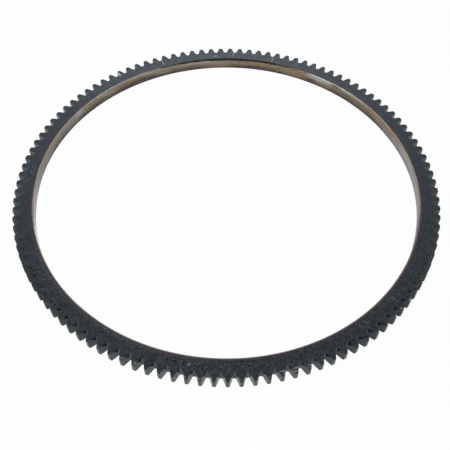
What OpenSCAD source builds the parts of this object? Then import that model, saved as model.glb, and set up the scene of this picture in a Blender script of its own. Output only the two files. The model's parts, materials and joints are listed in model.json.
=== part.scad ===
// Starter ring gear for a flywheel: one steel ring with straight teeth around the outside
// and a plain bore that is shrunk onto the flywheel's rim.
// It lies on its lower face. Z is its axis, and the origin is the centre of the lower face.
// The middle of one tooth gap lies on +X.

/* [Teeth] */
// Number of teeth around the ring
teeth = 115; // [60:1:160]
// Module, the pitch diameter for each tooth
tooth_module = 2.54; // [1.5:0.01:5]
// Pressure angle of the flanks in degrees
pressure_angle = 20; // [15:0.5:25]
// Height of a tooth above the pitch circle, in modules
addendum_factor = 1; // [0.8:0.05:1.1]
// Depth of a tooth gap below the pitch circle, in modules
dedendum_factor = 1.2; // [1.1:0.05:1.4]
// Amount that each tooth is thinner than half the pitch
tooth_thinning = 0.12; // [0:0.01:0.4]
// Radius of the fillet at each side of a gap's floor
root_fillet = 0.75; // [0.2:0.05:1]

/* [Ring] */
// Thickness of the ring between its bore and the floors of the tooth gaps
rim_wall = 8.9; // [3:0.1:20]
// Width of the ring from its lower face to its upper face
face_width = 9; // [5:0.1:20]

/* [Edges] */
// How far the lead-in bevel at the upper tooth ends reaches in from the tips
lead_in_reach = 0.6; // [0.2:0.1:1.5]
// How far the lead-in bevel runs down the tooth tips
lead_in_drop = 1.5; // [0.3:0.1:3]
// Chamfer at both ends of the bore
bore_chamfer = 0.4; // [0.2:0.1:1.5]
// Edge break at the lower tooth ends
lower_edge_break = 0.3; // [0.1:0.1:1]

/* [Hidden] */

// Facets of the turned surfaces
turned_fn = 360;
// Straight steps that follow one flank, and one root fillet
flank_steps = 4;
fillet_steps = 2;
// Length by which each gap cutter runs past the blank
cut_margin = 1;
// Share of the largest fillet that fits in a gap's floor
fillet_limit = 0.95;

tooth_angle = 360 / teeth;
pitch_r = teeth * tooth_module / 2;
base_r = pitch_r * cos(pressure_angle);
outer_r = pitch_r + addendum_factor * tooth_module;
root_r = pitch_r - dedendum_factor * tooth_module;
bore_r = root_r - rim_wall;

// Angle of an arc in degrees, from its length and radius
function arc_angle(length, r) = length / r * 180 / PI;

// Involute of a pressure angle, in degrees
function involute(a) = tan(a) * 180 / PI - a;

// Pressure angle where a flank crosses radius r
function flank_pressure(r) = acos(min(1, base_r / r));

// Half the angle that a tooth gap spans at radius r
function gap_half_angle(r) =
    tooth_angle / 4 + arc_angle(tooth_thinning / 2, pitch_r)
    + involute(flank_pressure(r)) - involute(pressure_angle);

// The gap's floor: half its width, and how far its flanks lean from its centre line
floor_half_w = root_r * sin(gap_half_angle(root_r));
flank_lean = flank_pressure(root_r) + gap_half_angle(root_r);

// The fillet that the floor has room for, and where its centre and its upper end lie
fillet_span = (1 - sin(flank_lean)) / cos(flank_lean);
fillet_r = min(root_fillet, fillet_limit * floor_half_w / fillet_span);
fillet_y = floor_half_w - fillet_r * fillet_span;
fillet_end_r = root_r + fillet_r * (1 - sin(flank_lean));

// One side of a tooth gap, from its floor outwards: fillet, involute flank, run-out past the tip
function gap_side() = concat(
    [for (k = [0 : fillet_steps])
        let (a = k * (90 - flank_lean) / fillet_steps)
        [root_r + fillet_r * (1 - cos(a)), fillet_y + fillet_r * sin(a)]],
    [for (k = [1 : flank_steps])
        let (r = fillet_end_r + k * (outer_r - fillet_end_r) / flank_steps)
        r * [cos(gap_half_angle(r)), sin(gap_half_angle(r))]],
    [(outer_r + cut_margin) * [cos(gap_half_angle(outer_r)), sin(gap_half_angle(outer_r))]]
);

// The same points on the other side of the centre line, in the opposite order
function other_side(points) =
    [for (k = [len(points) - 1 : -1 : 0]) [points[k].x, -points[k].y]];

// Section of the ring before its teeth are cut, as radius and height
module blank_section() {
    polygon([
        [bore_r + bore_chamfer, 0],
        [outer_r - lower_edge_break, 0],
        [outer_r, lower_edge_break],
        [outer_r, face_width - lead_in_drop],
        [outer_r - lead_in_reach, face_width],
        [bore_r + bore_chamfer, face_width],
        [bore_r, face_width - bore_chamfer],
        [bore_r, bore_chamfer]
    ]);
}

// The turned ring, with its bore chamfers and tip bevels
module turned_blank() {
    rotate_extrude($fn = turned_fn) blank_section();
}

// The space between two teeth, centred on +X
module tooth_gap() {
    translate([0, 0, -cut_margin])
        linear_extrude(face_width + 2 * cut_margin)
            polygon(concat(gap_side(), other_side(gap_side())));
}

// The finished ring, one piece
module ring_gear() {
    color("dimgray")
        difference() {
            turned_blank();
            for (i = [0 : teeth - 1])
                rotate(i * tooth_angle) tooth_gap();
        }
}

ring_gear();
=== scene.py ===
"""Studio scene for a starter ring gear: an oil-blackened steel ring with cut teeth and a tinted bore."""

import json
import logging
import math
from dataclasses import dataclass
from enum import Enum
from functools import cached_property

import bpy
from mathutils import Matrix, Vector


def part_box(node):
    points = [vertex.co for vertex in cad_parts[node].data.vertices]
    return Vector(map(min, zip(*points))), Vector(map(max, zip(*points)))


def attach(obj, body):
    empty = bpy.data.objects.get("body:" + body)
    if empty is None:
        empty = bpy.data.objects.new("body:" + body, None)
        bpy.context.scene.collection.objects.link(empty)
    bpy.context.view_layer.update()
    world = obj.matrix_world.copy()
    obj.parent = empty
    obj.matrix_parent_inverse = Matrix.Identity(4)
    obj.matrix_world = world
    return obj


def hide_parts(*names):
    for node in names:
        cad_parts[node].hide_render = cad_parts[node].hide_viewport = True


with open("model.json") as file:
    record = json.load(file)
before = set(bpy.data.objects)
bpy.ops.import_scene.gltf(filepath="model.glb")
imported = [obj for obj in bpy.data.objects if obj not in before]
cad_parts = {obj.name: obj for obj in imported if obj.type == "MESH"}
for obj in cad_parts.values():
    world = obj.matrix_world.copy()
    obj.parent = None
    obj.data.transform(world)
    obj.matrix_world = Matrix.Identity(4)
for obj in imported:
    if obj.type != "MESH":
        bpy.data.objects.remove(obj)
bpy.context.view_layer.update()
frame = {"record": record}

LOG = logging.getLogger("ring_gear_scene")
MM = 0.001
TEETH = 115
CAD_NODE = "ring_gear"
BODY = "root"

Rgb = tuple[float, float, float]
Point2 = tuple[float, float]
Point3 = tuple[float, float, float]
Socket = bpy.types.NodeSocket
Value = float | Socket
Colour = Rgb | Socket

WHITE: Rgb = (1.0, 1.0, 1.0)


class Zone(Enum):
    """A stretch of the ring's skin with a finish of its own."""

    SCALE = 0
    CUT = 1
    LAND = 2
    BORE = 3

    @property
    def finish_input(self) -> str:
        """Name of the Geometry Nodes input that takes the zone's material."""
        return f"{self.name.title()} Finish"


class Tint(Enum):
    """Colours that heat, oil and rust leave on the steel, and a black for soot and for painted shade, as
    linear light.
    """

    SILVER = (0.37, 0.37, 0.34)
    LILAC = (0.34, 0.335, 0.39)
    PALE = (0.86, 0.85, 0.86)
    GOLD = (0.25, 0.185, 0.105)
    OLIVE = (0.25, 0.235, 0.145)
    BRONZE = (0.145, 0.100, 0.055)
    VIOLET = (0.085, 0.064, 0.095)
    RUST = (0.27, 0.155, 0.095)
    SOOT_AND_SHADE = (0.010, 0.009, 0.010)


@dataclass(frozen=True)
class Ramp:
    """A smooth step from one value to another, held at both ends.

    Args:
        start: The input where the step starts.
        end: The input where it ends, below the start if the step runs downwards.
        first: The result at its start.
        last: The result at its end.
    """

    start: float
    end: float
    first: float = 0.0
    last: float = 1.0


@dataclass(frozen=True)
class Noise:
    """Settings of a noise texture.

    Args:
        scale: Lumps per metre.
        detail: Octaves of finer lumps.
        roughness: Strength of the finer lumps.
        distortion: How much the lumps are pulled about.
        squeeze: What x, y and z are multiplied by, below 1 where the lumps are long.
    """

    scale: float
    detail: float
    roughness: float
    distortion: float = 0.0
    squeeze: Point3 | None = None


@dataclass(frozen=True)
class Specks:
    """Small scattered spots.

    Args:
        scale: Cells per metre.
        size: Radius of a spot, as a share of a cell.
        share: Share of the cells that hold a spot.
        core: Share of a spot's radius within which it is full.
    """

    scale: float
    size: float
    share: float
    core: float = 0.5


@dataclass(frozen=True)
class Relief:
    """How a texture stands out of the surface.

    Args:
        height: How high its full strength stands, in metres.
        strength: How much of that shows.
    """

    height: float
    strength: float


@dataclass(frozen=True)
class Spot:
    """An oval place on the ring, with a ragged edge.

    Args:
        angle: Where it lies around the ring, in degrees from +X.
        level: Where it lies across the ring: a height in the bore, a radius on a face, in mm.
        along: Half its length around the ring, in mm.
        across: Half its width across the ring, in mm.
        strength: How much it shows, from 0 to 1.
        outside: Squared distance from its middle where it ends, with its own half sizes as units.
        inside: Squared distance from its middle where it is full.
        ragged: How far noise moves its edge, as a squared distance.
    """

    angle: float
    level: float
    along: float
    across: float
    strength: float = 1.0
    outside: float = 1.5
    inside: float = 0.2
    ragged: float = 2.4


def rgba(colour: Rgb) -> tuple[float, float, float, float]:
    """Returns a linear colour with full opacity."""
    return (*colour, 1.0)


def involute(angle: float) -> float:
    """Returns the involute function of a pressure angle in radians."""
    return math.tan(angle) - angle


@dataclass
class Graph:
    """Short calls that add nodes to a tree.

    Args:
        tree: The node tree.
    """

    tree: bpy.types.NodeTree

    def node(self, kind: str, **values: object) -> bpy.types.Node:
        """Adds a node and sets its properties.

        Args:
            kind: The node's class name.
            values: Properties of the node.

        Returns:
            The new node.
        """
        node = self.tree.nodes.new(kind)
        for key, value in values.items():
            setattr(node, key, value)
        return node

    def feed(self, socket: Socket, value: object) -> None:
        """Links a socket to an output, or sets it to a constant.

        Args:
            socket: The input.
            value: An output's socket, or the constant.
        """
        if isinstance(value, Socket):
            self.tree.links.new(value, socket)
        else:
            socket.default_value = value

    def maths(self, operation: str, *values: Value) -> Socket:
        """Returns the output of a Math node.

        Args:
            operation: The node's operation.
            values: Its inputs, as numbers or sockets.

        Returns:
            The result's socket.
        """
        node = self.node("ShaderNodeMath", operation=operation)
        for socket, value in zip(node.inputs, values):
            self.feed(socket, value)
        return node.outputs[0]

    def plus(self, first: Value, second: Value) -> Socket:
        """Returns the sum of two values."""
        return self.maths("ADD", first, second)

    def times(self, first: Value, second: Value) -> Socket:
        """Returns the product of two values."""
        return self.maths("MULTIPLY", first, second)

    def larger(self, first: Value, second: Value) -> Socket:
        """Returns the larger of two values."""
        return self.maths("MAXIMUM", first, second)

    def around_zero(self, noise: Socket, reach: float) -> Socket:
        """Returns noise around 0.5 as noise around 0, with a reach of its own."""
        return self.times(self.maths("SUBTRACT", noise, 0.5), reach)

    def ramp(self, value: Value, ramp: Ramp) -> Socket:
        """Returns a value mapped by a smooth step.

        Args:
            value: The value to map.
            ramp: The step.

        Returns:
            The result's socket.
        """
        node = self.node("ShaderNodeMapRange", interpolation_type="SMOOTHSTEP")
        for socket, number in zip(node.inputs, (value, ramp.start, ramp.end, ramp.first, ramp.last)):
            self.feed(socket, number)
        return node.outputs[0]

    def parts(self, vector: Socket) -> tuple[Socket, Socket, Socket]:
        """Splits a vector.

        Args:
            vector: The vector.

        Returns:
            The sockets of its x, y and z.
        """
        split = self.node("ShaderNodeSeparateXYZ")
        self.feed(split.inputs[0], vector)
        return split.outputs[0], split.outputs[1], split.outputs[2]

    def mirrored(self, rays: bpy.types.NodeOutputs) -> Socket:
        """Returns 1 for rays that metal or glass sends on, from a Light Path node's outputs."""
        return self.larger(rays["Is Glossy Ray"], rays["Is Transmission Ray"])


class Shader(Graph):
    """Short calls that build one material's nodes."""

    def __init__(self, name: str) -> None:
        """Makes the material with a bare Principled BSDF.

        Args:
            name: The material's name.
        """
        self.material = bpy.data.materials.new(name)
        self.material.use_nodes = True
        super().__init__(self.material.node_tree)
        self.surface = self.tree.nodes["Principled BSDF"]

    @cached_property
    def where(self) -> Socket:
        """The place on the piece, in metres."""
        return self.node("ShaderNodeTexCoord").outputs["Object"]

    @cached_property
    def place(self) -> tuple[Socket, Socket, Socket]:
        """X, y and z on the piece, in metres."""
        return self.parts(self.where)

    @cached_property
    def radius(self) -> Socket:
        """Distance from the ring's axis, in metres."""
        x, y, _ = self.place
        return self.maths("SQRT", self.plus(self.times(x, x), self.times(y, y)))

    def attribute(self, name: str) -> Socket:
        """Returns the value of a number stored on the mesh."""
        return self.node("ShaderNodeAttribute", attribute_name=name).outputs["Fac"]

    def mix(self, factor: Value, first: Colour, second: Colour, blend: str = "MIX") -> Socket:
        """Returns a mix of two colours.

        Args:
            factor: How much of the second colour is taken.
            first: The first colour, as numbers or a socket.
            second: The second colour.
            blend: The Mix node's blend type.

        Returns:
            The result's socket.
        """
        node = self.node("ShaderNodeMix", data_type="RGBA", blend_type=blend)
        colours = [socket for socket in node.inputs if socket.type == "RGBA"]
        self.feed(node.inputs[0], factor)
        for socket, colour in zip(colours, (first, second)):
            self.feed(socket, rgba(colour) if isinstance(colour, tuple) else colour)
        return next(socket for socket in node.outputs if socket.type == "RGBA")

    def noise(self, noise: Noise, vector: Socket | None = None) -> Socket:
        """Returns a noise texture's value, around 0.5.

        Args:
            noise: The texture's settings.
            vector: Where the texture is read, if not at the place on the piece.

        Returns:
            The noise's socket.
        """
        if vector is None:
            vector = self.where
        if noise.squeeze is not None:
            mapping = self.node("ShaderNodeMapping")
            self.feed(mapping.inputs["Vector"], vector)
            self.feed(mapping.inputs["Scale"], noise.squeeze)
            vector = mapping.outputs[0]
        node = self.node("ShaderNodeTexNoise")
        for name, value in (("Vector", vector), ("Scale", noise.scale), ("Detail", noise.detail),
                            ("Roughness", noise.roughness), ("Distortion", noise.distortion)):
            self.feed(node.inputs[name], value)
        return node.outputs[0]

    def specks(self, specks: Specks) -> Socket:
        """Returns 1 on small scattered spots and 0 elsewhere.

        Args:
            specks: The spots' settings.

        Returns:
            The spots' socket.
        """
        cells = self.node("ShaderNodeTexVoronoi", feature="F1")
        self.feed(cells.inputs["Vector"], self.where)
        self.feed(cells.inputs["Scale"], specks.scale)
        split = self.node("ShaderNodeSeparateColor")
        self.feed(split.inputs[0], cells.outputs["Color"])
        chosen = self.maths("LESS_THAN", split.outputs[0], specks.share)
        near = self.ramp(cells.outputs["Distance"], Ramp(specks.size, specks.size * specks.core))
        return self.times(chosen, near)

    def spot(self, spot: Spot, level: Socket, noise: Socket) -> Socket:
        """Returns the strength of a spot, full in its middle and 0 outside it.

        Args:
            spot: The spot.
            level: Height or radius on the piece, in metres.
            noise: Noise around 0.5 that breaks up its edge.

        Returns:
            The strength's socket.
        """
        turned = self.node("ShaderNodeVectorRotate", rotation_type="Z_AXIS")
        self.feed(turned.inputs["Vector"], self.where)
        self.feed(turned.inputs["Angle"], -math.radians(spot.angle))
        facing, sideways, _ = self.parts(turned.outputs[0])
        along = self.maths("DIVIDE", sideways, spot.along * MM)
        across = self.maths("DIVIDE", self.maths("SUBTRACT", level, spot.level * MM), spot.across * MM)
        reach = self.plus(self.times(along, along), self.times(across, across))
        reach = self.plus(reach, self.around_zero(noise, spot.ragged))
        strength = self.ramp(reach, Ramp(spot.outside, spot.inside, 0.0, spot.strength))
        return self.times(strength, self.maths("GREATER_THAN", facing, 0.0))

    def spots(self, spots: tuple[Spot, ...], level: Socket, noise: Socket) -> Socket:
        """Returns the strength of several spots together.

        Args:
            spots: The spots.
            level: Height or radius on the piece, in metres.
            noise: Noise around 0.5 that breaks up their edges.

        Returns:
            The strength's socket.
        """
        total = self.spot(spots[0], level, noise)
        for spot in spots[1:]:
            total = self.larger(total, self.spot(spot, level, noise))
        return total

    def bump(self, texture: Socket, relief: Relief, normal: Socket | None = None) -> Socket:
        """Returns a normal that follows a texture.

        Args:
            texture: The texture, from 0 to 1.
            relief: How it stands out.
            normal: A normal from an earlier bump.

        Returns:
            The normal's socket.
        """
        node = self.node("ShaderNodeBump")
        self.feed(node.inputs["Height"], texture)
        self.feed(node.inputs["Distance"], relief.height)
        self.feed(node.inputs["Strength"], relief.strength)
        if normal is not None:
            self.feed(node.inputs["Normal"], normal)
        return node.outputs[0]

    def finish(self, colour: Socket, metallic: Socket, roughness: Socket, normal: Socket,
               shine: float, shine_tint: Rgb = WHITE) -> bpy.types.Material:
        """Connects the surface's inputs.

        Args:
            colour: Base colour.
            metallic: Metal share.
            roughness: Roughness.
            normal: Normal.
            shine: Specular level, 0.5 for a plain dielectric.
            shine_tint: Colour of the dielectric reflection.

        Returns:
            The finished material.
        """
        for name, value in (("Base Color", colour), ("Metallic", metallic),
                            ("Roughness", roughness), ("Normal", normal),
                            ("Specular IOR Level", shine), ("Specular Tint", rgba(shine_tint))):
            self.feed(self.surface.inputs[name], value)
        return self.material


@dataclass(frozen=True)
class OilBlackScale:
    """Dark scale on the faces and bevels: blue-black, mottled, brown near the bore, with marks of use,
    made lighter towards the ring's +Y side with painted light, and with a painted shade line where that
    side meets the bore.

    Radii and y are in metres. A ramp named for a texture runs over that texture's values.

    Args:
        band: Colour in the middle of a face.
        bore_side: Colour beside the bore.
        tooth_side: Colour beside the teeth.
        pale_lumps: Colour of the paler lumps and grains.
        pits: Colour of the darkest grains and marks.
        bare_steel: Colour where the scale is rubbed through.
        speck: Colour of the small pale specks.
        red_brown: Colour of the reddened edge at the bore.
        grey_brown: Colour of the greyer stretch beside the bore.
        pink_rim: Colour of the rubbed rim on the ring's -Y side.
        far_side_painted_light: What the colours are multiplied by towards the ring's +Y side, painted
            light that makes that side lighter.
        lumps: Middle-sized mottle of the scale.
        clouds: Large, soft patches.
        grain: Fine grain.
        mottle: Clearer mottle on the -Y side.
        turning: Lines that the turning tool left, across the radius.
        bore_side_reach: Radii over which the bore's colour fades out.
        bore_side_clouds: How the clouds break up the bore's colour.
        tooth_side_reach: Radii over which the teeth's colour comes in.
        painted_light_reach: The y over which the painted light comes in.
        pale_by_lumps: How the lumps show pale.
        pale_by_grain: How the grain shows pale.
        dark_by_grain: How the grain shows dark.
        mottle_reach: The y over which the clearer mottle comes in.
        dark_by_mottle: How it shows dark.
        pale_by_mottle: How it shows pale.
        red_reach: Radii over which the reddened edge fades out.
        red_clouds: How the clouds break up the reddened edge.
        red_least: Strength of the reddened edge outside its own places.
        edge_dark: How dark the worn edges are before they show steel.
        worn_by_lumps: How the lumps break up the bare edges.
        worn_least: Strength of the bare edges outside their own places.
        worn_cover: Strength of bare steel.
        near_specks: Specks that lie close together, in the places for specks.
        lone_specks: Specks that lie alone.
        lone_clouds: How the clouds gather the lone specks.
        rim_waver: How far the lumps move the edge of the rubbed rim, in metres.
        rim_reach: Radii over which the rubbed rim comes in.
        rim_rust: How the clouds turn the rim from silver to rust.
        rim_pink: The y over which the rim turns pink.
        rim_cover: Strength of the rubbed rim.
        bare_metal: Metal share of bare steel and of the rubbed rim.
        rough_by_lumps: Roughness over the lumps.
        mark_rough: Roughness of the black marks and of the painted shade line.
        grain_share: Share of the grain in the fine relief.
        turning_share: Share of the turning lines in it.
        fine_relief: How the grain and the turning lines stand out.
        lump_relief: How the lumps stand out.
        shine: Specular level.
        shine_tint: Colour of the reflection.
        speck_places: Where the near specks lie.
        worn_edges: Where the edges at the teeth are bare.
        black_marks_and_shade: Black marks and nicks, and a painted shade line along the bore's edge on
            the +Y side.
        scratches: Scratches and bare spots.
        painted_shade_rim: Where the rim stays black, painted shade along the bore's edge on the +Y side.
        pale_band: Where the greyer stretch lies.
        red_places: Where the reddened edge is strong.
    """

    band: Rgb = (0.0115, 0.0155, 0.0205)
    bore_side: Rgb = (0.021, 0.0155, 0.0175)
    tooth_side: Rgb = (0.0130, 0.0185, 0.0205)
    pale_lumps: Rgb = (0.040, 0.047, 0.056)
    pits: Rgb = (0.002, 0.003, 0.004)
    bare_steel: Rgb = (0.34, 0.36, 0.39)
    speck: Rgb = (0.24, 0.27, 0.29)
    red_brown: Rgb = (0.046, 0.026, 0.027)
    grey_brown: Rgb = (0.043, 0.038, 0.038)
    pink_rim: Rgb = (0.17, 0.135, 0.145)
    far_side_painted_light: Rgb = (1.30, 1.38, 1.50)
    lumps: Noise = Noise(260, 5, 0.62)
    clouds: Noise = Noise(28, 3, 0.5)
    grain: Noise = Noise(1500, 3, 0.7)
    mottle: Noise = Noise(640, 2, 0.5)
    turning: Noise = Noise(5200, 2, 0.5)
    bore_side_reach: Ramp = Ramp(0.1364, 0.1394, 1.0, 0.0)
    bore_side_clouds: Ramp = Ramp(0.32, 0.6, 0.35, 1.0)
    tooth_side_reach: Ramp = Ramp(0.1405, 0.1440)
    painted_light_reach: Ramp = Ramp(-0.10, 0.01)
    pale_by_lumps: Ramp = Ramp(0.48, 0.75, 0.0, 0.6)
    pale_by_grain: Ramp = Ramp(0.54, 0.68)
    dark_by_grain: Ramp = Ramp(0.42, 0.28, 0.0, 0.8)
    mottle_reach: Ramp = Ramp(0.0, -0.06)
    dark_by_mottle: Ramp = Ramp(0.46, 0.36, 0.0, 0.6)
    pale_by_mottle: Ramp = Ramp(0.54, 0.66, 0.0, 0.6)
    red_reach: Ramp = Ramp(0.1352, 0.1361, 0.75, 0.0)
    red_clouds: Ramp = Ramp(0.4, 0.52, 0.4, 1.0)
    red_least: float = 0.3
    edge_dark: float = 0.7
    worn_by_lumps: Ramp = Ramp(0.43, 0.54)
    worn_least: float = 0.1
    worn_cover: float = 0.85
    near_specks: Specks = Specks(1200, 0.42, 0.3)
    lone_specks: Specks = Specks(420, 0.15, 0.06)
    lone_clouds: Ramp = Ramp(0.46, 0.6)
    rim_waver: float = 0.0004
    rim_reach: Ramp = Ramp(0.1354, 0.13495)
    rim_rust: Ramp = Ramp(0.48, 0.6)
    rim_pink: Ramp = Ramp(0.0, -0.045)
    rim_cover: float = 0.7
    bare_metal: float = 0.7
    rough_by_lumps: Ramp = Ramp(0.3, 0.75, 0.36, 0.52)
    mark_rough: float = 0.95
    grain_share: float = 0.7
    turning_share: float = 0.5
    fine_relief: Relief = Relief(0.00004, 0.55)
    lump_relief: Relief = Relief(0.00012, 0.35)
    shine: float = 0.20
    shine_tint: Rgb = (0.76, 0.87, 1.0)
    speck_places: tuple[Spot, ...] = (
        Spot(174, 141, 13, 4), Spot(211, 139.2, 24, 2.5, 0.4), Spot(315, 139.5, 3, 3),
        Spot(303.7, 139.5, 4, 3.5), Spot(343, 140, 30, 3, 0.2), Spot(290, 136.6, 80, 1.1, 0.5),
        Spot(262, 140, 30, 5, 0.6), Spot(238, 139.6, 32, 3.5, 0.25), Spot(326, 147.6, 40, 0.9),
        Spot(242, 147.4, 26, 1.1), Spot(287, 146, 10, 2, 0.8), Spot(131, 141.5, 32, 4, 0.7),
        Spot(86, 138.2, 22, 1.2, 0.6))
    worn_edges: tuple[Spot, ...] = (
        Spot(281, 147.6, 17, 1.7), Spot(262, 147.6, 26, 1.5, 0.6), Spot(240, 147.6, 20, 1.6, 0.5),
        Spot(312, 147.6, 34, 1.5, 0.4), Spot(118, 147.4, 22, 2, 0.5), Spot(70, 147.4, 16, 2, 0.4),
        Spot(189, 147.8, 32, 1.6, 0.6))
    black_marks_and_shade: tuple[Spot, ...] = (
        Spot(67.2, 144.0, 1.9, 0.9, 0.6), Spot(64.5, 146.1, 1.5, 1.0), Spot(62.3, 142.5, 0.9, 0.9),
        Spot(60.8, 147.3, 1.0, 0.9), Spot(125.6, 142.4, 0.8, 0.8), Spot(131.1, 143.1, 1.6, 0.7, 0.7),
        Spot(107, 143.5, 1.2, 1.2), Spot(270, 136.7, 22, 0.35, 0.8), Spot(257, 140, 0.5, 1.6),
        Spot(254.8, 139.3, 1.4, 0.5), Spot(261.8, 141, 0.5, 4, 0.8), Spot(249.3, 142.8, 2.2, 0.4, 0.7),
        # The last spot is painted shade: a black line along the bore's edge on the +Y side.
        Spot(243.4, 147.6, 0.8, 0.9), Spot(84, 134.5, 60, 1.0))
    scratches: tuple[Spot, ...] = (
        Spot(124.2, 145.2, 0.9, 3.6, 0.9), Spot(109.2, 140, 0.3, 3.5, 0.7),
        Spot(258.4, 139.5, 0.4, 1.6, 0.35), Spot(71.5, 138.5, 0.3, 3, 0.6), Spot(85, 141, 0.5, 3, 0.4),
        Spot(91, 138.5, 1.6, 0.8, 0.5), Spot(280.5, 146.0, 2.6, 0.55, 0.5),
        Spot(283.6, 145.9, 2.6, 0.55, 0.5), Spot(286.8, 146.4, 2, 0.5, 0.4),
        Spot(246.4, 147.3, 1.6, 1.1, 0.45), Spot(317.4, 147.9, 0.55, 0.55, 0.8),
        Spot(314.3, 147.3, 0.5, 0.5, 0.8), Spot(311.7, 148.0, 0.55, 0.55, 0.8))
    painted_shade_rim: Spot = Spot(88, 134.8, 76, 1.6)
    pale_band: Spot = Spot(226, 135.7, 92, 2.0)
    red_places: tuple[Spot, ...] = (
        Spot(268, 135.6, 46, 2), Spot(228, 135.8, 12, 2, 0.8), Spot(320, 135.6, 80, 2, 0.8))

    def material(self) -> bpy.types.Material:
        """Makes the scale's material, from its colour up to its marks of use and its painted shade.

        Returns:
            The material.
        """
        skin = Shader("oil_black_scale")
        lumps = skin.noise(self.lumps)
        clouds = skin.noise(self.clouds)
        grain = skin.noise(self.grain)

        colour = self.scale(skin, lumps, clouds, grain)
        colour = self.mottled(skin, colour)
        colour = self.reddened(skin, colour, clouds)
        colour = skin.mix(skin.times(skin.attribute("edge_wear"), self.edge_dark), colour, self.pits)
        worn = self.worn(skin, lumps, grain)
        colour = skin.mix(skin.times(worn, self.worn_cover), colour, self.bare_steel)
        colour = skin.mix(self.specks(skin, lumps, clouds), colour, self.speck)
        # The black marks include a painted shade line along the bore's edge on the +Y side.
        black = skin.spots(self.black_marks_and_shade, skin.radius, grain)
        colour = skin.mix(black, colour, self.pits)
        rim = self.rim(skin, lumps, clouds)
        colour = skin.mix(skin.times(rim, self.rim_cover), colour, self.rim_colour(skin, clouds))

        metallic = skin.times(skin.larger(worn, rim), self.bare_metal)
        roughness = skin.ramp(lumps, self.rough_by_lumps)
        roughness = skin.larger(roughness, skin.times(black, self.mark_rough))
        normal = self.relief(skin, lumps, grain)
        return skin.finish(colour, metallic, roughness, normal, self.shine, self.shine_tint)

    def scale(self, skin: Shader, lumps: Socket, clouds: Socket, grain: Socket) -> Socket:
        """Returns the colour of the scale, from the bore to the teeth, with painted light towards the +Y
        side.

        Args:
            skin: The material's nodes.
            lumps: The lumps.
            clouds: The clouds.
            grain: The grain.

        Returns:
            The colour's socket.
        """
        _, y, _ = skin.place
        inner = skin.times(skin.ramp(skin.radius, self.bore_side_reach),
                           skin.ramp(clouds, self.bore_side_clouds))
        colour = skin.mix(skin.ramp(skin.radius, self.tooth_side_reach), self.band, self.tooth_side)
        colour = skin.mix(inner, colour, self.bore_side)
        # Painted light: the colour is made lighter towards the ring's +Y side.
        lightened = skin.mix(1.0, colour, self.far_side_painted_light, "MULTIPLY")
        colour = skin.mix(skin.ramp(y, self.painted_light_reach), colour, lightened)
        colour = skin.mix(skin.spot(self.pale_band, skin.radius, clouds), colour, self.grey_brown)
        colour = skin.mix(skin.ramp(lumps, self.pale_by_lumps), colour, self.pale_lumps)
        colour = skin.mix(skin.ramp(grain, self.pale_by_grain), colour, self.pale_lumps)
        return skin.mix(skin.ramp(grain, self.dark_by_grain), colour, self.pits)

    def mottled(self, skin: Shader, colour: Socket) -> Socket:
        """Returns a colour with the clearer mottle of the -Y side.

        Args:
            skin: The material's nodes.
            colour: The colour without it.

        Returns:
            The new colour's socket.
        """
        _, y, _ = skin.place
        near = skin.ramp(y, self.mottle_reach)
        mottle = skin.noise(self.mottle)
        dark = skin.times(near, skin.ramp(mottle, self.dark_by_mottle))
        pale = skin.times(near, skin.ramp(mottle, self.pale_by_mottle))
        return skin.mix(pale, skin.mix(dark, colour, self.pits), self.pale_lumps)

    def reddened(self, skin: Shader, colour: Socket, clouds: Socket) -> Socket:
        """Returns a colour with the reddened edge beside the bore.

        Args:
            skin: The material's nodes.
            colour: The colour without it.
            clouds: The clouds.

        Returns:
            The new colour's socket.
        """
        red = skin.times(skin.ramp(skin.radius, self.red_reach), skin.ramp(clouds, self.red_clouds))
        places = skin.larger(skin.spots(self.red_places, skin.radius, clouds), self.red_least)
        return skin.mix(skin.times(red, places), colour, self.red_brown)

    def worn(self, skin: Shader, lumps: Socket, grain: Socket) -> Socket:
        """Returns how bare the steel is, at the teeth's edges and along the scratches.

        Args:
            skin: The material's nodes.
            lumps: The lumps.
            grain: The grain.

        Returns:
            The wear's socket.
        """
        edges = skin.times(skin.attribute("edge_wear"), skin.ramp(lumps, self.worn_by_lumps))
        places = skin.larger(skin.spots(self.worn_edges, skin.radius, lumps), self.worn_least)
        return skin.larger(skin.times(edges, places), skin.spots(self.scratches, skin.radius, grain))

    def specks(self, skin: Shader, lumps: Socket, clouds: Socket) -> Socket:
        """Returns how much the pale specks show.

        Args:
            skin: The material's nodes.
            lumps: The lumps.
            clouds: The clouds.

        Returns:
            The specks' socket.
        """
        places = skin.spots(self.speck_places, skin.radius, lumps)
        near = skin.times(skin.specks(self.near_specks), places)
        lone = skin.times(skin.specks(self.lone_specks), skin.ramp(clouds, self.lone_clouds))
        return skin.larger(near, lone)

    def rim(self, skin: Shader, lumps: Socket, clouds: Socket) -> Socket:
        """Returns how much the rim of a face is rubbed where it meets the bore, held off where painted
        shade keeps it black.

        Args:
            skin: The material's nodes.
            lumps: The lumps.
            clouds: The clouds.

        Returns:
            The rim's socket.
        """
        wavering = skin.plus(skin.radius, skin.times(lumps, self.rim_waver))
        # Painted shade keeps the rim black along the bore's edge on the +Y side.
        darkened = skin.spot(self.painted_shade_rim, skin.radius, clouds)
        return skin.times(skin.ramp(wavering, self.rim_reach), skin.maths("SUBTRACT", 1.0, darkened))

    def rim_colour(self, skin: Shader, clouds: Socket) -> Socket:
        """Returns the colour of the rubbed rim.

        Args:
            skin: The material's nodes.
            clouds: The clouds.

        Returns:
            The colour's socket.
        """
        _, y, _ = skin.place
        colour = skin.mix(skin.ramp(clouds, self.rim_rust), Tint.SILVER.value, Tint.RUST.value)
        return skin.mix(skin.ramp(y, self.rim_pink), colour, self.pink_rim)

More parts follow.
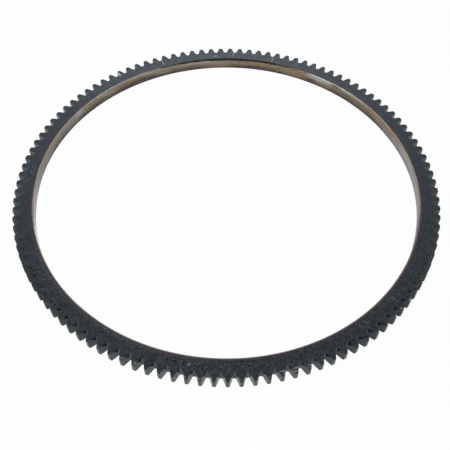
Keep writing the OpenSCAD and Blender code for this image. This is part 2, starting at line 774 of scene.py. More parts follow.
    def relief(self, skin: Shader, lumps: Socket, grain: Socket) -> Socket:
        """Returns the normal of the lumpy, grained and turned surface.

        Args:
            skin: The material's nodes.
            lumps: The lumps.
            grain: The grain.

        Returns:
            The normal's socket.
        """
        across = skin.node("ShaderNodeCombineXYZ")
        skin.feed(across.inputs[0], skin.radius)
        turned = skin.noise(self.turning, across.outputs[0])
        fine = skin.plus(skin.times(grain, self.grain_share), skin.times(turned, self.turning_share))
        return skin.bump(lumps, self.lump_relief, skin.bump(fine, self.fine_relief))


@dataclass(frozen=True)
class CutToothSteel:
    """Cut steel under an oily dark film, marked along the teeth, with painted shade near the top of the
    teeth and a painted reflection on the -Y side.

    Heights are in metres. A ramp named for a texture runs over that texture's values.

    Args:
        name: The material's name.
        clean: Colour where the film is thin.
        filmed: Colour where it is thick.
        painted_shade: Colour of the painted shade near the top of the teeth and the gaps.
        bare_steel: Colour of the worn edges.
        painted_reflection: Colour of the teeth on the -Y side, a painted reflection of the floor in front
            of them.
        marks: Marks of the cutter, along the teeth.
        patches: Patches of the film.
        tone_share: How much each tooth's own tone moves the film.
        film: How the patches turn into film.
        film_by_marks: How the marks show as film.
        worn_by_patches: How the patches break up the bare edges.
        shade_waver: How far the patches move the painted shade's edge.
        shade_reach: Heights over which the painted shade closes over the steel.
        metal: Metal share.
        rough: Roughness over the patches.
        painted_shade_rough: Roughness where the painted shade reaches down the teeth.
        mark_relief: How the marks stand out.
        shine: Specular level of the film.
        shine_tint: Colour of its reflection.
        painted_reflection_place: Where the teeth take the painted reflection's colour.
        painted_shade_place: Where the painted shade reaches down the teeth.
    """

    name: str
    clean: Rgb
    filmed: Rgb
    painted_shade: Rgb = (0.004, 0.005, 0.006)
    bare_steel: Rgb = (0.34, 0.35, 0.36)
    painted_reflection: Rgb = (0.060, 0.064, 0.076)
    marks: Noise = Noise(2600, 3, 0.6, squeeze=(1.0, 1.0, 0.06))
    patches: Noise = Noise(420, 4, 0.6)
    tone_share: float = 0.12
    film: Ramp = Ramp(0.42, 0.66)
    film_by_marks: Ramp = Ramp(0.55, 0.8, 0.0, 0.3)
    worn_by_patches: Ramp = Ramp(0.54, 0.68, 0.0, 0.4)
    shade_waver: float = 0.004
    shade_reach: Ramp = Ramp(0.0045, 0.0075)
    metal: float = 0.0
    rough: Ramp = Ramp(0.3, 0.7, 0.12, 0.24)
    painted_shade_rough: float = 0.9
    mark_relief: Relief = Relief(0.00003, 0.35)
    shine: float = 0.5
    shine_tint: Rgb = (0.70, 0.93, 0.98)
    painted_reflection_place: Spot = Spot(271, 145, 48, 9, 0.9)
    painted_shade_place: Spot = Spot(204, 145, 38, 9, 0.6)

    def material(self) -> bpy.types.Material:
        """Makes the cut steel's material, from its film up to its painted shade.

        Returns:
            The material.
        """
        skin = Shader(self.name)
        _, _, z = skin.place
        marks = skin.noise(self.marks)
        patches = skin.noise(self.patches)

        tone = skin.times(skin.attribute("tooth_tone"), self.tone_share)
        film = skin.ramp(skin.plus(patches, tone), self.film)
        colour = skin.mix(film, self.clean, self.filmed)
        # Painted reflection: the teeth on the -Y side take a colour of their own for the floor that they
        # reflect.
        colour = skin.mix(skin.spot(self.painted_reflection_place, skin.radius, patches), colour, self.painted_reflection)
        colour = skin.mix(skin.ramp(marks, self.film_by_marks), colour, self.filmed)
        worn = skin.times(skin.attribute("edge_wear"), skin.ramp(patches, self.worn_by_patches))
        colour = skin.mix(worn, colour, self.bare_steel)

        # Painted shade: darker near the top of the teeth and the gaps, and down the teeth in one stretch
        # on the -X side.
        height = skin.plus(z, skin.around_zero(patches, self.shade_waver))
        shaded = skin.spot(self.painted_shade_place, skin.radius, patches)
        darkened = skin.larger(skin.ramp(height, self.shade_reach), shaded)
        colour = skin.mix(darkened, colour, self.painted_shade)
        metallic = skin.ramp(darkened, Ramp(0.0, 1.0, self.metal, 0.0))
        roughness = skin.ramp(patches, self.rough)
        roughness = skin.larger(roughness, skin.times(shaded, self.painted_shade_rough))
        normal = skin.bump(marks, self.mark_relief)
        return skin.finish(colour, metallic, roughness, normal, self.shine, self.shine_tint)


@dataclass(frozen=True)
class TintedBore:
    """Turned bore with heat tint: straw above, violet-brown below, stained and streaked around the ring,
    with a painted shade band along its top edge on the +Y side.

    Heights are in metres. A ramp named for a texture runs over that texture's values.

    Args:
        straw: Colour at the top.
        bronze: Colour half way up.
        violet: Colour at the bottom.
        streaks: Streaks that run around the bore.
        clouds: Large, soft patches.
        edges: Noise that breaks up the stains' edges.
        mottle: Fine mottle over the stains.
        waver: How far the clouds move the tint up and down.
        bronze_reach: Heights over which violet turns to bronze.
        straw_reach: Heights over which bronze turns to straw.
        pale_by_streaks: How the streaks show pale.
        dark_by_mottle: How the mottle shows dark.
        pale_by_mottle: How it shows pale.
        metal: Metal share.
        rough_by_streaks: Roughness over the streaks.
        soot_and_shade_rough: Roughness of the black stains and of the painted shade.
        streak_relief: How the streaks stand out.
        shine: Specular level.
        stains: Colours and places of the stains, from the lowest layer to the highest.
    """

    straw: Rgb = (0.245, 0.210, 0.150)
    bronze: Rgb = (0.165, 0.130, 0.088)
    violet: Rgb = (0.082, 0.058, 0.070)
    streaks: Noise = Noise(1500, 3, 0.6, squeeze=(0.05, 0.05, 1.0))
    clouds: Noise = Noise(60, 4, 0.6, distortion=0.6, squeeze=(1.0, 1.0, 0.6))
    edges: Noise = Noise(160, 4, 0.6, squeeze=(1.0, 1.0, 2.5))
    mottle: Noise = Noise(700, 4, 0.6)
    waver: float = 0.0065
    bronze_reach: Ramp = Ramp(0.0014, 0.0040)
    straw_reach: Ramp = Ramp(0.0040, 0.0066)
    pale_by_streaks: Ramp = Ramp(0.5, 0.75, 0.0, 0.3)
    dark_by_mottle: Ramp = Ramp(0.52, 0.78, 0.0, 0.5)
    pale_by_mottle: Ramp = Ramp(0.46, 0.24, 0.0, 0.5)
    metal: float = 0.85
    rough_by_streaks: Ramp = Ramp(0.3, 0.7, 0.26, 0.42)
    soot_and_shade_rough: float = 0.95
    streak_relief: Relief = Relief(0.00003, 0.6)
    shine: float = 0.1
    stains: tuple[tuple[Tint, Spot], ...] = (
        (Tint.LILAC, Spot(186, 3.5, 30, 6)),
        (Tint.PALE, Spot(208, 6, 44, 9)),
        (Tint.VIOLET, Spot(333, 5, 46, 9)),
        (Tint.SOOT_AND_SHADE, Spot(332, 3.5, 38, 8, 0.25)),
        (Tint.LILAC, Spot(168, 2.5, 22, 3, 0.5)),
        (Tint.LILAC, Spot(4, 3.0, 50, 3.8, 0.65)),
        (Tint.SILVER, Spot(145, 7.2, 5, 2, 0.7)),
        (Tint.VIOLET, Spot(150, 1.6, 34, 1.6, 0.6)),
        (Tint.SILVER, Spot(136.0, 8.4, 2.6, 0.7, 0.8)),
        (Tint.SILVER, Spot(133.4, 7.2, 2.8, 0.8, 0.9)),
        (Tint.SILVER, Spot(130.6, 5.8, 3.2, 0.8, 0.7)),
        (Tint.SILVER, Spot(115, 8.2, 20, 1.5, 0.9)),
        (Tint.SILVER, Spot(98, 7, 18, 1.5, 0.5)),
        (Tint.BRONZE, Spot(121, 5.2, 15, 1.9)),
        (Tint.GOLD, Spot(122, 6.2, 18, 2.2, 0.5)),
        (Tint.SILVER, Spot(150, 4.5, 16, 4, 0.25)),
        (Tint.SILVER, Spot(92, 4, 12, 4, 0.3)),
        (Tint.VIOLET, Spot(120, 2.5, 20, 2.0)),
        (Tint.OLIVE, Spot(110, 5, 8, 2.2)),
        (Tint.GOLD, Spot(80, 5.6, 14, 2.0)),
        (Tint.VIOLET, Spot(76, 2.2, 12, 1.4, 0.8)),
        (Tint.GOLD, Spot(63, 5, 11, 5)),
        (Tint.RUST, Spot(62, 6, 8, 3, 0.35)),
        (Tint.SILVER, Spot(53.5, 7, 12, 2.2)),
        (Tint.GOLD, Spot(52.5, 2.8, 8, 2.2, 0.8)),
        (Tint.BRONZE, Spot(46.8, 7.6, 4, 1.8, 0.8)),
        (Tint.BRONZE, Spot(35, 5.6, 24, 1.4, 0.7)),
        (Tint.GOLD, Spot(27, 6.4, 14, 2.0, 0.9)),
        (Tint.BRONZE, Spot(34, 8.9, 22, 0.7, 0.5)),
        (Tint.SILVER, Spot(39, 8.1, 14, 0.8, 0.5)),
        (Tint.RUST, Spot(19, 8.6, 9, 1.3)),
        (Tint.SILVER, Spot(9, 7, 14, 1.8, 0.8)),
        (Tint.GOLD, Spot(6, 8.7, 34, 0.8, 0.7)),
        (Tint.VIOLET, Spot(50, 0.8, 66, 1.6, 0.7)),
        (Tint.RUST, Spot(137, 7.6, 1.6, 1.6, 0.8)),
        (Tint.RUST, Spot(188, 8.5, 16, 0.8)),
        (Tint.RUST, Spot(350, 8.2, 12, 1.0)),
        (Tint.SOOT_AND_SHADE, Spot(67.9, 1.3, 1.1, 0.9)),
        (Tint.SOOT_AND_SHADE, Spot(68.5, 5.5, 0.5, 1.0)),
        # Painted shade: a black band along the bore's top edge on the +Y side.
        (Tint.SOOT_AND_SHADE, Spot(88, 9.1, 64, 1.5)),
    )

    def material(self) -> bpy.types.Material:
        """Makes the bore's material, from its heat tint up to its stains, painted shade and streaks.

        Returns:
            The material.
        """
        skin = Shader("tinted_bore")
        _, _, z = skin.place
        streaks = skin.noise(self.streaks)
        edges = skin.noise(self.edges)
        mottle = skin.noise(self.mottle)

        level = skin.plus(z, skin.around_zero(skin.noise(self.clouds), self.waver))
        colour = skin.mix(skin.ramp(level, self.bronze_reach), self.violet, self.bronze)
        colour = skin.mix(skin.ramp(level, self.straw_reach), colour, self.straw)
        for tint, spot in self.stains:
            colour = skin.mix(skin.spot(spot, z, edges), colour, tint.value)
        colour = skin.mix(skin.ramp(streaks, self.pale_by_streaks), colour, Tint.SILVER.value)
        colour = skin.mix(skin.ramp(mottle, self.dark_by_mottle), colour, self.violet)
        colour = skin.mix(skin.ramp(mottle, self.pale_by_mottle), colour, Tint.SILVER.value)

        # These spots hold black stains and the painted shade at the top edge.
        soot_and_shade_places = tuple(spot for tint, spot in self.stains if tint is Tint.SOOT_AND_SHADE)
        darkened = skin.spots(soot_and_shade_places, z, edges)
        metallic = skin.ramp(darkened, Ramp(0.0, 1.0, self.metal, 0.0))
        roughness = skin.ramp(streaks, self.rough_by_streaks)
        roughness = skin.larger(roughness, skin.times(darkened, self.soot_and_shade_rough))
        normal = skin.bump(streaks, self.streak_relief)
        return skin.finish(colour, metallic, roughness, normal, self.shine)


@dataclass
class ToothForm:
    """The outline of one tooth and half a gap on each side, seen along the axis, in metres.

    Args:
        teeth: Number of teeth around the ring.
        outer_radius: Radius over the tips.
        pressure_angle: Pressure angle in radians.
        addendum_factor: Height of a tooth above the pitch circle, in modules.
        dedendum_factor: Depth of a gap below the pitch circle, in modules.
        thinning: How much thinner than half the pitch a tooth is.
        fillet: Radius at each side of a gap's floor.
        fillet_limit: Share of the largest fillet that fits in a gap's floor.
        tip_round: Radius of the worn corner between a flank and the tip.
        floor_steps: Straight steps along half a gap's floor.
        fillet_steps: Steps along a fillet.
        flank_steps: Steps along a flank.
        corner_steps: Steps round the worn corner.
        tip_steps: Steps along half a tip.
    """

    teeth: int
    outer_radius: float
    pressure_angle: float = math.radians(20)
    addendum_factor: float = 1.0
    dedendum_factor: float = 1.2
    thinning: float = 0.12 * MM
    fillet: float = 0.75 * MM
    fillet_limit: float = 0.95
    tip_round: float = 0.16 * MM
    floor_steps: int = 1
    fillet_steps: int = 3
    flank_steps: int = 4
    corner_steps: int = 2
    tip_steps: int = 1

    @property
    def pitch(self) -> float:
        """Angle from one tooth to the next."""
        return math.tau / self.teeth

    @property
    def module(self) -> float:
        """Pitch diameter for each tooth."""
        return 2 * self.outer_radius / (self.teeth + 2 * self.addendum_factor)

    @property
    def pitch_radius(self) -> float:
        """Radius of the pitch circle."""
        return self.teeth * self.module / 2

    @property
    def root_radius(self) -> float:
        """Radius of the gaps' floors."""
        return self.pitch_radius - self.dedendum_factor * self.module

    def flank_pressure(self, radius: float) -> float:
        """Returns the pressure angle where a flank crosses a radius."""
        return math.acos(min(1.0, self.pitch_radius * math.cos(self.pressure_angle) / radius))

    def gap_half_angle(self, radius: float) -> float:
        """Returns half the angle that a gap spans at a radius."""
        return (self.pitch / 4 + self.thinning / 2 / self.pitch_radius
                + involute(self.flank_pressure(radius)) - involute(self.pressure_angle))

    def flank_lean(self, radius: float) -> float:
        """Returns the angle between a flank and the gap's middle line at a radius."""
        return self.flank_pressure(radius) + self.gap_half_angle(radius)

    def floor_fillet(self) -> Point2:
        """Returns the fillet that a gap's floor has room for.

        Returns:
            Its radius, and how far its centre lies from the gap's middle line.
        """
        root = self.root_radius
        lean = self.flank_lean(root)
        span = (1 - math.sin(lean)) / math.cos(lean)
        half_width = root * math.sin(self.gap_half_angle(root))
        bend = min(self.fillet, self.fillet_limit * half_width / span)
        return bend, half_width - bend * span

    def gap_floor(self) -> list[Point2]:
        """Returns points from the middle of a gap to the upper end of its fillet.

        Returns:
            Points as angle and radius.
        """
        root = self.root_radius
        bend, centre_y = self.floor_fillet()
        points = [(root, centre_y * k / self.floor_steps) for k in range(self.floor_steps)]
        for k in range(self.fillet_steps + 1):
            turn = k * (math.pi / 2 - self.flank_lean(root)) / self.fillet_steps
            points.append((root + bend * (1 - math.cos(turn)), centre_y + bend * math.sin(turn)))
        return [(math.atan2(y, x), math.hypot(x, y)) for x, y in points]

    def flank(self) -> list[Point2]:
        """Returns points along a flank, from above its fillet to its worn corner.

        Returns:
            Points as angle and radius.
        """
        bend, _ = self.floor_fillet()
        start = self.root_radius + bend * (1 - math.sin(self.flank_lean(self.root_radius)))
        stop = self.outer_radius - self.tip_round
        radii = [start + k * (stop - start) / self.flank_steps for k in range(1, self.flank_steps + 1)]
        return [(self.gap_half_angle(radius), radius) for radius in radii]

    def tip(self, first: Point2) -> list[Point2]:
        """Returns points round the worn corner and along half the tip.

        Args:
            first: The flank's last point, as angle and radius.

        Returns:
            Points as angle and radius, without the first.
        """
        outer = self.outer_radius
        corner = self.tip_round * math.cos(self.flank_lean(outer)) / outer
        land_start = self.gap_half_angle(outer) + corner
        points = []
        for k in range(1, self.corner_steps + 1):
            turn = k / self.corner_steps * math.pi / 2
            angle = first[0] + (land_start - first[0]) * (1 - math.cos(turn))
            points.append((angle, first[1] + (outer - first[1]) * math.sin(turn)))
        for k in range(1, self.tip_steps + 1):
            points.append((land_start + (self.pitch / 2 - land_start) * k / self.tip_steps, outer))
        return points

    def outline(self) -> list[Point2]:
        """Returns points from one gap's middle to the next.

        Returns:
            Points as angle and radius.
        """
        half = self.gap_floor() + self.flank()
        half += self.tip(half[-1])
        return half + [(self.pitch - angle, radius) for angle, radius in reversed(half[:-1])]


@dataclass(frozen=True)
class Row:
    """One row of points around the ring's section.

    Args:
        height: Height of the row, in metres.
        radius: Radius of the row, where it doesn't follow the teeth.
        inset: Distance inside the teeth's outline, where it does.
        wear: How bare the edge is worn there, from 0 to 1.
        zone: The finish of the faces from this row to the next.
        land: Whether those faces are a tip land where they lie on the outer radius.
        bevel: Whether those faces are the lead-in bevel where the outline passes its inner edge.
        follow: How much of the outline's own spacing the row takes.
    """

    height: float
    radius: float | None = None
    inset: float = 0.0
    wear: float = 0.0
    zone: Zone = Zone.SCALE
    land: bool = False
    bevel: bool = False
    follow: float = 0.0


@dataclass
class ToothedRing:
    """The ring, built as one tooth's sector that Geometry Nodes repeat around the axis, in metres.

    Args:
        form: The teeth's outline.
        bore_radius: Radius of the bore.
        width: Distance between the faces.
        bore_chamfer: Chamfer at both ends of the bore.
        lead_in_reach: How far the lead-in bevel reaches in from the tips.
        lead_in_drop: How far it runs down the tips.
        lower_break: Edge break at the lower tooth ends.
        lower_rub: How far above the edge break the flanks' lowest row lies.
        edge_round: Radius of the worn edge between a face and the teeth.
        wear_reach: How far from that edge the wear fades out.
        upper_wear: How bare the upper edge is worn, from 0 to 1.
        lower_wear: How bare the lower edge is worn.
        face_share: Place of a face's inner row, as a share of the way from the bore to its middle row.
        wall_depth: How far inside the gaps' floors a face's middle row lies.
        tooth_foot: How far inside the floors its outer row lies.
        follows: How much of the outline's spacing those three rows take.
        floor_reach: How far above its floor a gap counts as floor.
        arc_steps: Straight steps round a worn edge.
        tone_seed: Seed of the teeth's tones.
        weld_distance: Distance within which the sectors' points are joined.
        sharp_from: Least angle of an edge that stays sharp, in radians.
        face_weight: Weight of large faces in the shading, 50 for the plain one.
    """

    form: ToothForm
    bore_radius: float
    width: float
    bore_chamfer: float = 0.4 * MM
    lead_in_reach: float = 0.6 * MM
    lead_in_drop: float = 1.5 * MM
    lower_break: float = 0.3 * MM
    lower_rub: float = 0.3 * MM
    edge_round: float = 0.16 * MM
    wear_reach: float = 0.45 * MM
    upper_wear: float = 1.0
    lower_wear: float = 0.6
    face_share: float = 0.45
    wall_depth: float = 1.2 * MM
    tooth_foot: float = 0.5 * MM
    follows: tuple[float, float, float] = (0.2, 0.6, 0.9)
    floor_reach: float = 0.01 * MM
    arc_steps: int = 3
    tone_seed: int = 11
    weld_distance: float = 0.002 * MM
    sharp_from: float = math.radians(40)
    face_weight: int = 50

    def rows(self) -> list[Row]:
        """Lists the section's rows.

        Returns:
            The rows, from the lower bore edge round over the top and back.
        """
        bore, chamfer, top = self.bore_radius, self.bore_chamfer, self.width
        return [
            Row(0.0, bore + chamfer, zone=Zone.BORE),
            Row(chamfer, bore, zone=Zone.BORE),
            Row(top / 2, bore, zone=Zone.BORE),
            Row(top - chamfer, bore, zone=Zone.BORE),
            Row(top, bore + chamfer),
            *self.face_rows(top),
            *self.arc_rows(top, self.upper_wear),
            Row(top - self.wear_reach, zone=Zone.CUT, bevel=True),
            Row(top - self.lead_in_drop, zone=Zone.CUT, land=True),
            Row(top / 2, zone=Zone.CUT, land=True),
            Row(self.lower_break + self.lower_rub, zone=Zone.CUT),
            *reversed(self.arc_rows(0.0, self.lower_wear)),
            *reversed(self.face_rows(0.0)),
        ]

    def face_rows(self, height: float) -> list[Row]:
        """Returns a face's rows between its bore chamfer and its worn edge.

        Args:
            height: Height of the face.

        Returns:
            The rows, from the inside out.
        """
        bore, root = self.bore_radius, self.form.root_radius
        wall = root - self.wall_depth
        radii = (bore + self.face_share * (wall - bore), wall, root - self.tooth_foot)
        rows = [Row(height, radius, follow=follow) for radius, follow in zip(radii, self.follows)]
        return rows + [Row(height, inset=self.wear_reach)]

    def arc_rows(self, face: float, wear: float) -> list[Row]:
        """Returns the rows that round the edge between a face and the teeth.

        Args:
            face: Height of the face.
            wear: How bare the edge is worn.

        Returns:
            The rows, from the face to the wall.
        """
        down = 1.0 if face == 0.0 else -1.0
        rows = []
        for k in range(self.arc_steps + 1):
            turn = k * math.pi / 2 / self.arc_steps
            inset = self.edge_round * (1 - math.sin(turn))
            height = face + down * self.edge_round * (1 - math.cos(turn))
            last = k == self.arc_steps
            zone = Zone.CUT if last else Zone.SCALE
            rows.append(Row(height, inset=inset, wear=wear, zone=zone, bevel=last and face > 0.0))
        return rows

    def bevel_limit(self, height: float, inset: float) -> float:
        """Returns the largest radius that the turned bevels leave at a height.

        Args:
            height: The height.
            inset: How far the outline is moved into the steel.

        Returns:
            The radius.
        """
        outer = self.form.outer_radius
        start = self.width - self.lead_in_drop
        limit = outer - self.lead_in_reach * max(0.0, height - start) / self.lead_in_drop
        return min(limit, outer - max(0.0, self.lower_break - height)) - inset

    def inset_outline(self, inset: float) -> list[Point2]:
        """Returns the outline moved into the steel.

        Args:
            inset: How far it is moved.

        Returns:
            Points as angle and radius.
        """
        outline = self.form.outline()
        if inset == 0.0:
            return outline
        flat = [Vector((radius * math.cos(angle), radius * math.sin(angle))) for angle, radius in outline]
        last = len(flat) - 1
        moved = []
        for k, point in enumerate(flat):
            if k in (0, last):
                normal = point.normalized()
            else:
                along = (flat[k + 1] - flat[k]).normalized() + (flat[k] - flat[k - 1]).normalized()
                normal = Vector((along.y, -along.x)).normalized()
            place = point - inset * normal
            moved.append((math.atan2(place.y, place.x), place.length))
        return moved

    def row_points(self, row: Row) -> list[Point3]:
        """Returns a row's points over one tooth's sector.

        Args:
            row: The row.

        Returns:
            Its points, from one gap's middle to the next.
        """
        outline = self.inset_outline(row.inset)
        last = len(outline) - 1
        points = []
        for k, (angle, radius) in enumerate(outline):
            if row.radius is None:
                radius = min(radius, self.bevel_limit(row.height, row.inset))
            else:
                radius = row.radius
                angle = row.follow * angle + (1 - row.follow) * self.form.pitch * k / last
            points.append((radius * math.cos(angle), radius * math.sin(angle), row.height))
        return points

    def face_zone(self, row: Row, low: float, high: float) -> Zone:
        """Returns the finish of one face of the sector.

        Args:
            row: The row that the face starts from.
            low: The smaller radius of the outline at the face's two sides.
            high: The larger radius.

        Returns:
            The zone.
        """
        if row.bevel and low > self.form.outer_radius - self.lead_in_reach:
            return Zone.SCALE
        tip = row.land and low >= self.form.outer_radius
        floor = high < self.form.root_radius + self.floor_reach
        if row.zone is Zone.CUT and (tip or floor):
            return Zone.LAND
        return row.zone

    def sector(self) -> bpy.types.Object:
        """Builds the mesh of one tooth's sector, open at its two sides.

        Returns:
            The sector.
        """
        rows = self.rows()
        outline = self.form.outline()
        across = len(outline)
        vertices = [point for row in rows for point in self.row_points(row)]
        faces, zones = [], []
        for j, row in enumerate(rows):
            after = (j + 1) % len(rows)
            for k in range(across - 1):
                here, there = j * across + k, after * across + k
                faces.append((here, here + 1, there + 1, there))
                low, high = sorted((outline[k][1], outline[k + 1][1]))
                zones.append(self.face_zone(row, low, high).value)
        mesh = bpy.data.meshes.new("tooth_sector")
        mesh.from_pydata(vertices, [], faces)
        wear = mesh.attributes.new("edge_wear", "FLOAT", "POINT")
        wear.data.foreach_set("value", [row.wear for row in rows for _ in range(across)])
        zone = mesh.attributes.new("zone", "INT", "FACE")
        zone.data.foreach_set("value", zones)
        sector = bpy.data.objects.new("tooth_sector", mesh)
        bpy.context.scene.collection.objects.link(sector)
        return sector

    def around_tree(self) -> bpy.types.NodeTree:
        """Builds the Geometry Nodes tree that repeats a sector around the axis.

        Returns:
            The tree.
        """
        tree = bpy.data.node_groups.new("sectors_around_axis", "GeometryNodeTree")
        inputs = {"Sector": "NodeSocketGeometry", "Teeth": "NodeSocketInt",
                  "Tone Seed": "NodeSocketInt", "Weld Distance": "NodeSocketFloat"}
        inputs.update({zone.finish_input: "NodeSocketMaterial" for zone in Zone})
        for name, kind in inputs.items():
            tree.interface.new_socket(name, in_out="INPUT", socket_type=kind)
        tree.interface.new_socket("Ring", in_out="OUTPUT", socket_type="NodeSocketGeometry")
        graph = Graph(tree)
        given = graph.node("NodeGroupInput").outputs

        sectors = self.toned_sectors(graph, self.spread_sectors(graph, given), given["Tone Seed"])
        realize = graph.node("GeometryNodeRealizeInstances")
        graph.feed(realize.inputs[0], sectors)
        weld = graph.node("GeometryNodeMergeByDistance")
        graph.feed(weld.inputs["Geometry"], realize.outputs[0])
        graph.feed(weld.inputs["Distance"], given["Weld Distance"])
        dressed = self.dressed_zones(graph, weld.outputs[0], given)
        graph.feed(graph.node("NodeGroupOutput").inputs["Ring"], dressed)
        return tree

    def spread_sectors(self, graph: Graph, given: bpy.types.NodeOutputs) -> Socket:
        """Adds the nodes that place one sector for each tooth.

        Args:
            graph: The tree.
            given: The tree's inputs.

        Returns:
            The sectors' socket.
        """
        points = graph.node("GeometryNodePoints")
        graph.feed(points.inputs["Count"], given["Teeth"])
        pitch = graph.maths("DIVIDE", math.tau, given["Teeth"])
        turn = graph.times(graph.node("GeometryNodeInputIndex").outputs[0], pitch)
        angles = graph.node("ShaderNodeCombineXYZ")
        graph.feed(angles.inputs["Z"], turn)
        rotation = graph.node("FunctionNodeEulerToRotation")
        graph.feed(rotation.inputs[0], angles.outputs[0])
        spread = graph.node("GeometryNodeInstanceOnPoints")
        for name, value in (("Points", points.outputs[0]), ("Instance", given["Sector"]),
                            ("Rotation", rotation.outputs[0])):
            graph.feed(spread.inputs[name], value)
        return spread.outputs[0]

    def toned_sectors(self, graph: Graph, sectors: Socket, seed: Socket) -> Socket:
        """Adds the nodes that store a random tone on each sector.

        Args:
            graph: The tree.
            sectors: The sectors.
            seed: The seed.

        Returns:
            The sectors' socket.
        """
        tone = graph.node("FunctionNodeRandomValue", data_type="FLOAT")
        graph.feed(tone.inputs["Seed"], seed)
        store = graph.node("GeometryNodeStoreNamedAttribute", data_type="FLOAT", domain="INSTANCE")
        graph.feed(store.inputs["Geometry"], sectors)
        graph.feed(store.inputs["Name"], "tooth_tone")
        graph.feed(store.inputs["Value"], next(socket for socket in tone.outputs if socket.enabled))
        return store.outputs[0]

    def dressed_zones(self, graph: Graph, ring: Socket, given: bpy.types.NodeOutputs) -> Socket:
        """Adds the nodes that give each zone its material.

        Args:
            graph: The tree.
            ring: The ring without materials.
            given: The tree's inputs.

        Returns:
            The dressed ring's socket.
        """
        stored = graph.node("GeometryNodeInputNamedAttribute", data_type="INT")
        graph.feed(stored.inputs["Name"], "zone")
        for zone in Zone:
            same = graph.node("FunctionNodeCompare", data_type="INT", operation="EQUAL")
            numbers = [socket for socket in same.inputs if socket.type == "INT"]
            graph.feed(numbers[0], stored.outputs[0])
            graph.feed(numbers[1], zone.value)
            dress = graph.node("GeometryNodeSetMaterial")
            for name, value in (("Geometry", ring), ("Selection", same.outputs[0]),
                                ("Material", given[zone.finish_input])):
                graph.feed(dress.inputs[name], value)
            ring = dress.outputs[0]
        return ring

    def build(self, finishes: dict[Zone, bpy.types.Material]) -> bpy.types.Object:
        """Builds the whole ring as one plain mesh.

        Args:
            finishes: The material of each zone.

        Returns:
            The ring.
        """
        sector = self.sector()
        tree = self.around_tree()
        around = sector.modifiers.new("around", "NODES")
        around.node_group = tree
        values = {"Teeth": self.form.teeth, "Tone Seed": self.tone_seed,
                  "Weld Distance": self.weld_distance}
        values.update({zone.finish_input: finishes[zone] for zone in Zone})
        for item in tree.interface.items_tree:
            if item.in_out == "INPUT" and item.name in values:
                around[item.identifier] = values[item.name]
        depsgraph = bpy.context.evaluated_depsgraph_get()
        mesh = bpy.data.meshes.new_from_object(sector.evaluated_get(depsgraph), depsgraph=depsgraph,
                                               preserve_all_data_layers=True)
        sector.modifiers.remove(around)
        bpy.data.objects.remove(sector)
        mesh.name = "toothed_ring"
        ring = bpy.data.objects.new("toothed_ring", mesh)
        bpy.context.scene.collection.objects.link(ring)
        return ring

    def smooth(self, ring: bpy.types.Object) -> None:
        """Shades the ring smooth, with its flat faces kept flat and its hard edges sharp.

        Args:
            ring: The ring.
        """
        ring.data.polygons.foreach_set("use_smooth", [True] * len(ring.data.polygons))
        ring.data.set_sharp_from_angle(angle=self.sharp_from)
        weighted = ring.modifiers.new("face_weights", "WEIGHTED_NORMAL")
        weighted.keep_sharp = True
        weighted.weight = self.face_weight


@dataclass(frozen=True)
class Softbox:
    """A square soft lamp that faces the ring.

    Args:
        name: The lamp's name.
        place: Where it stands, in metres.
        size: Length of its side, in metres.
        power: Its power, in watts.
    """

    name: str
    place: Point3
    size: float
    power: float

    def build(self) -> bpy.types.Object:
        """Adds the lamp to the scene.

        Returns:
            The lamp.
        """
        light = bpy.data.lights.new(self.name, "AREA")
        light.size = self.size
        light.energy = self.power
        lamp = bpy.data.objects.new(self.name, light)
        lamp.location = self.place
        lamp.rotation_euler = (-Vector(self.place)).to_track_quat("-Z", "Y").to_euler()
        bpy.context.scene.collection.objects.link(lamp)
        return lamp


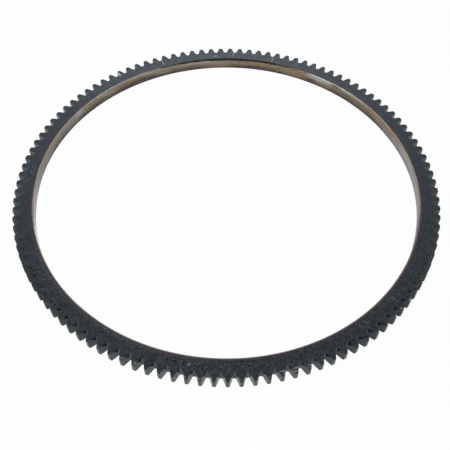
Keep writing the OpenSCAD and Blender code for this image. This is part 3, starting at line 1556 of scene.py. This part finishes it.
@dataclass
class Studio:
    """Floor, soft lamps and ambient light.

    Args:
        floor_size: Length of the floor's side, in metres.
        floor_tone: How much light the floor sends back.
        floor_rough: Roughness of the floor.
        seen_white: Share of plain white in the floor as the camera sees it.
        mirrored_white: Share of plain white in the floor's reflection.
        ambient: Strength of the light from all round.
        softboxes: The soft lamps.
    """

    floor_size: float = 6.0
    floor_tone: float = 0.9
    floor_rough: float = 0.9
    seen_white: float = 0.96
    mirrored_white: float = 0.5
    ambient: float = 0.55
    softboxes: tuple[Softbox, ...] = (Softbox("back_softbox", (0.03, 0.9, 0.7), 0.6, 4.5),
                                      Softbox("left_softbox", (-0.9, -0.5, 0.7), 0.7, 5.0))

    def floor_paint(self) -> bpy.types.Material:
        """Makes the floor's material, whiter where the camera or a reflection sees it.

        Returns:
            The material.
        """
        paint = Shader("white_floor")
        paint.feed(paint.surface.inputs["Base Color"], rgba((self.floor_tone,) * 3))
        paint.feed(paint.surface.inputs["Roughness"], self.floor_rough)
        rays = paint.node("ShaderNodeLightPath").outputs
        share = paint.plus(paint.times(rays["Is Camera Ray"], self.seen_white),
                           paint.times(paint.mirrored(rays), self.mirrored_white))
        glow = paint.node("ShaderNodeEmission")
        paint.feed(glow.inputs["Color"], rgba(WHITE))
        blend = paint.node("ShaderNodeMixShader")
        for socket, value in zip(blend.inputs, (share, paint.surface.outputs[0], glow.outputs[0])):
            paint.feed(socket, value)
        paint.feed(paint.tree.nodes["Material Output"].inputs[0], blend.outputs[0])
        return paint.material

    def floor(self) -> bpy.types.Object:
        """Builds the white floor that the ring lies on.

        Returns:
            The floor.
        """
        half = self.floor_size / 2
        mesh = bpy.data.meshes.new("studio_floor")
        mesh.from_pydata([(-half, -half, 0), (half, -half, 0), (half, half, 0), (-half, half, 0)],
                         [], [(0, 1, 2, 3)])
        mesh.materials.append(self.floor_paint())
        floor = bpy.data.objects.new("studio_floor", mesh)
        bpy.context.scene.collection.objects.link(floor)
        return floor

    def world(self) -> None:
        """Sets the ambient light, white where the camera or a reflection sees it."""
        world = bpy.data.worlds.new("studio")
        bpy.context.scene.world = world
        world.use_nodes = True
        sky = Graph(world.node_tree)
        background = sky.tree.nodes["Background"]
        rays = sky.node("ShaderNodeLightPath").outputs
        seen = sky.larger(rays["Is Camera Ray"], sky.mirrored(rays))
        sky.feed(background.inputs["Color"], rgba(WHITE))
        sky.feed(background.inputs["Strength"], sky.ramp(seen, Ramp(0.0, 1.0, self.ambient, 1.0)))

    def build(self) -> None:
        """Builds the floor, the ambient light and the lamps."""
        self.floor()
        self.world()
        for softbox in self.softboxes:
            softbox.build()
        LOG.info("studio: a floor and %d soft lamps", len(self.softboxes))


@dataclass
class CameraView:
    """The camera, placed as the photograph was taken.

    Args:
        place: Where it stands, in metres.
        aim: A point on its axis, in metres.
        lens: Focal length, in millimetres.
        sensor: Width of its sensor, in millimetres.
        near_clip: Nearest distance that it shows, in metres.
        roll: How far it is turned about its own axis, in radians.
    """

    place: Point3 = (-0.015358, -0.309518, 0.371862)
    aim: Point3 = (-0.002495, -0.033206, 0.0045)
    lens: float = 54.09
    sensor: float = 36.0
    near_clip: float = 0.01
    roll: float = math.radians(0.079)

    def build(self) -> bpy.types.Object:
        """Makes the camera the scene's own.

        Returns:
            The camera.
        """
        data = bpy.data.cameras.new("photo_camera")
        data.lens = self.lens
        data.sensor_width = self.sensor
        data.clip_start = self.near_clip
        camera = bpy.data.objects.new("photo_camera", data)
        camera.location = self.place
        toward = Vector(self.aim) - Vector(self.place)
        camera.rotation_euler = toward.to_track_quat("-Z", "Y").to_euler()
        camera.rotation_euler.rotate_axis("Z", self.roll)
        bpy.context.scene.collection.objects.link(camera)
        bpy.context.scene.camera = camera
        return camera


def ring_from_frame() -> ToothedRing:
    """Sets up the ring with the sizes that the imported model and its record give.

    Returns:
        The ring, not yet built.
    """
    low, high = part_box(CAD_NODE)
    bore = next(mount for mount in frame["record"]["mounts"] if mount["name"] == "bore")
    form = ToothForm(TEETH, outer_radius=-low.x)
    return ToothedRing(form, bore["dims"]["r_mm"] * MM, high.z - low.z)


def ring_finishes() -> dict[Zone, bpy.types.Material]:
    """Makes the ring's finishes.

    Returns:
        The material of each zone.
    """
    flank = CutToothSteel("oiled_flank_steel", clean=(0.013, 0.031, 0.036), filmed=(0.006, 0.014, 0.017))
    land = CutToothSteel("rubbed_tip_steel", clean=(0.100, 0.116, 0.120), filmed=(0.045, 0.056, 0.058),
                         film=Ramp(0.45, 0.75), shade_reach=Ramp(0.0072, 0.0092), metal=0.2,
                         rough=Ramp(0.3, 0.7, 0.32, 0.46))
    return {Zone.SCALE: OilBlackScale().material(), Zone.CUT: flank.material(),
            Zone.LAND: land.material(), Zone.BORE: TintedBore().material()}


def main() -> None:
    """Builds the ring, its finishes and the studio."""
    logging.basicConfig(level=logging.INFO, format="%(message)s")
    bpy.context.scene.view_settings.view_transform = "Standard"
    design = ring_from_frame()
    ring = design.build(ring_finishes())
    design.smooth(ring)
    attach(ring, BODY)
    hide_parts(CAD_NODE)
    LOG.info("%s: %d faces, %d teeth", ring.name, len(ring.data.polygons), design.form.teeth)

    Studio().build()
    CameraView().build()


if __name__ == "__main__":
    main()
